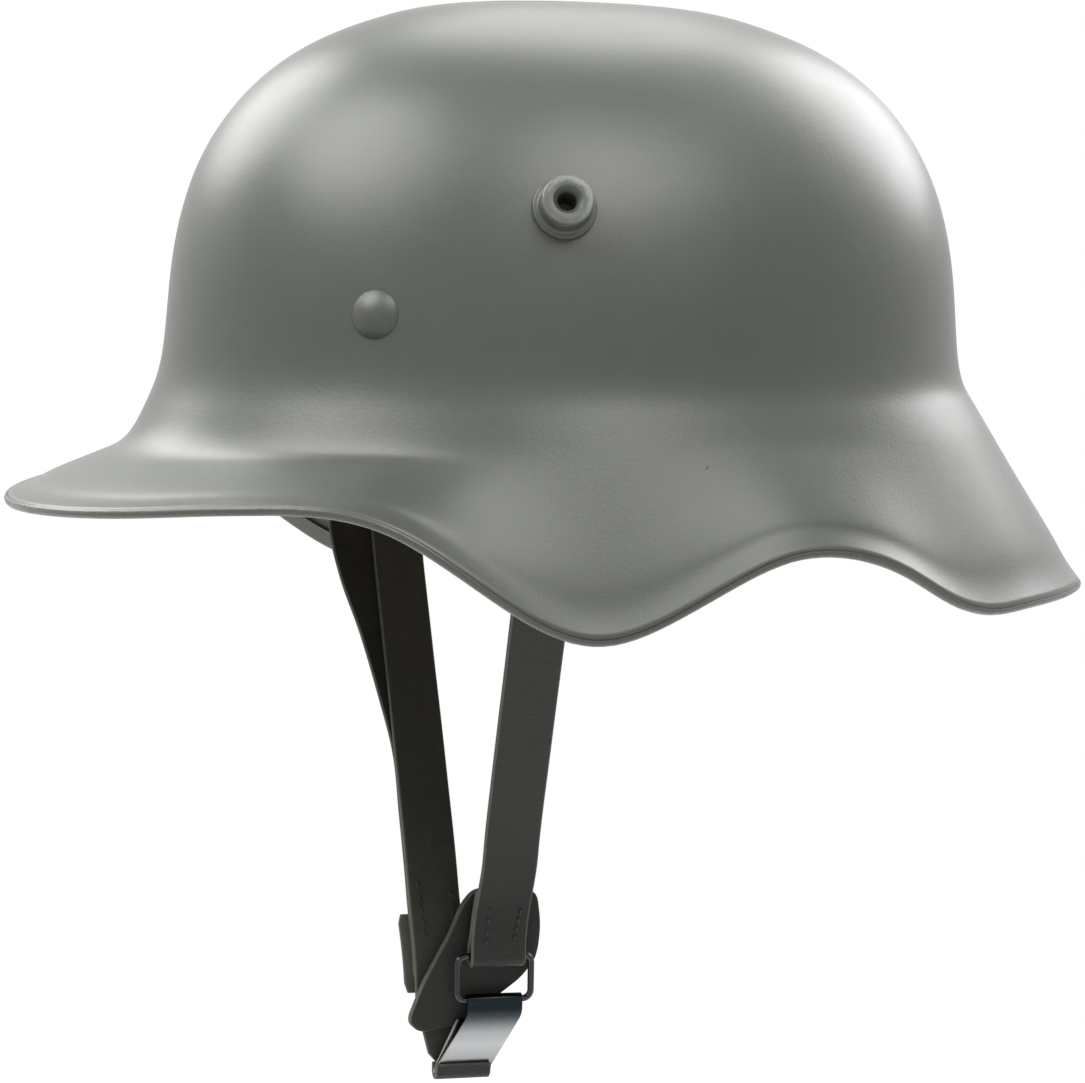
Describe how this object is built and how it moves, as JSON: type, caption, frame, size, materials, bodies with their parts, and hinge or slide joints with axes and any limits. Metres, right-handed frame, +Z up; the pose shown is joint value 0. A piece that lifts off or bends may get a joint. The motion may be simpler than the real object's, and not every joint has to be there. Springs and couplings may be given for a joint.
{
  "type": "steel combat helmet",
  "caption": "Green painted steel combat helmet with a flared skirt, ear cut-outs, stepped side lugs, a padded leather liner and a quick-release leather chinstrap.",
  "frame": {"origin": "middle of the head opening, on the level where the dome wall stands upright", "axes": "+Z up to the crown, -Y to the front, +X to the left side of the wearer"},
  "size_m": [0.2408, 0.3093, 0.3002],
  "materials": {
    "field_green_paint": "worn matt",
    "bare_steel": "aged",
    "blued_steel": "polished",
    "liner_leather": "dull",
    "strap_leather": "waxed",
    "cushion_cloth": "woven"
  },
  "bodies": {
    "helmet": {"shell": "field_green_paint", "vent_lug_left": "bare_steel", "vent_lug_right": "bare_steel", "liner_rivet_left": "field_green_paint", "liner_rivet_right": "field_green_paint", "liner_rivet_rear": "field_green_paint", "spacer_left": "bare_steel", "spacer_right": "bare_steel", "spacer_rear": "bare_steel", "liner_band": "bare_steel", "pad_front_left": "liner_leather", "pad_rear": "liner_leather", "pad_front_right": "liner_leather", "pad_rivets_front_left": "bare_steel", "pad_rivets_rear": "bare_steel", "pad_rivets_front_right": "bare_steel", "cushion_front_left": "cushion_cloth", "cushion_rear": "cushion_cloth", "cushion_front_right": "cushion_cloth", "swivel_rivet_left": "bare_steel", "swivel_rivet_right": "bare_steel"},
    "swivel_left": {"bail_plate_left": "bare_steel"},
    "swivel_right": {"bail_plate_right": "bare_steel"},
    "ring_left": {"bail_left": "bare_steel"},
    "ring_right": {"bail_right": "bare_steel"},
    "near_strap": {"strap_left": "strap_leather", "flap_front": "strap_leather", "flap_back": "strap_leather"},
    "far_strap": {"strap_right": "strap_leather"},
    "frame": {"release_frame": "bare_steel"},
    "hook": {"release_hook": "blued_steel", "hook_foot_loop": "strap_leather"}
  },
  "joints": [
    {"name": "swivel_left", "type": "hinge", "parent": "helmet", "child": "swivel_left", "pos_m": [0.08614, -0.0205, 0.011], "axis": [1, 0, 0], "range_deg": [-5, 5]},
    {"name": "bail_left", "type": "hinge", "parent": "swivel_left", "child": "ring_left", "pos_m": [0.08654, -0.0205, -0.004], "axis": [0, -1, 0], "range_deg": [0, 20]},
    {"name": "swivel_right", "type": "hinge", "parent": "helmet", "child": "swivel_right", "pos_m": [-0.08614, -0.0205, 0.011], "axis": [1, 0, 0], "range_deg": [-5, 5]},
    {"name": "bail_right", "type": "hinge", "parent": "swivel_right", "child": "ring_right", "pos_m": [-0.08654, -0.0205, -0.004], "axis": [0, 1, 0], "range_deg": [0, 20]},
    {"name": "strap_left", "type": "hinge", "parent": "ring_left", "child": "near_strap", "pos_m": [0.08128, -0.0205, -0.01389], "axis": [0, -1, 0], "range_deg": [0, 30]},
    {"name": "strap_right", "type": "hinge", "parent": "ring_right", "child": "far_strap", "pos_m": [-0.08128, -0.0205, -0.01389], "axis": [0, 1, 0], "range_deg": [0, 30]},
    {"name": "release_frame", "type": "hinge", "parent": "near_strap", "child": "frame", "pos_m": [0.006, -0.0092, -0.1654], "axis": [0, -1, 0], "range_deg": [0, 60]},
    {"name": "release_hook", "type": "hinge", "parent": "frame", "child": "hook", "pos_m": [0.006, -0.0092, -0.1779], "axis": [0, -1, 0], "range_deg": [0, 90]}
  ],
  "couplings": [
    {"joint": "swivel_right", "follows": "swivel_left", "ratio": 1}
  ]
}
